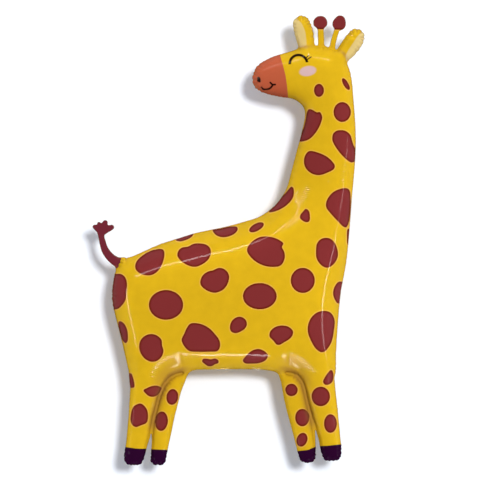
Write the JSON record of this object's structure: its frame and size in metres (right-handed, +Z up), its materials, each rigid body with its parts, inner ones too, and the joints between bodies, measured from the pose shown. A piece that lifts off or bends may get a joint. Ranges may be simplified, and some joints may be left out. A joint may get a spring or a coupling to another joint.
{
  "type": "giraffe foil balloon",
  "caption": "Inflated foil balloon in the shape of a standing giraffe, two printed film sheets welded round the rim, lying on its back with the printed side up",
  "frame": {"origin": "on the surface the balloon lies on, under the middle of its outline", "axes": "+X to the giraffe's chest, away from its tail, +Y from the hooves to the ears, +Z up out of the printed front"},
  "size_m": [0.616, 1.018, 0.2202],
  "materials": {
    "printed_foil": "metallised film printed yellow with red-brown spots, glossy and slightly wrinkled"
  },
  "bodies": {
    "root": {"giraffe_balloon": "printed_foil"}
  },
  "joints": []
}
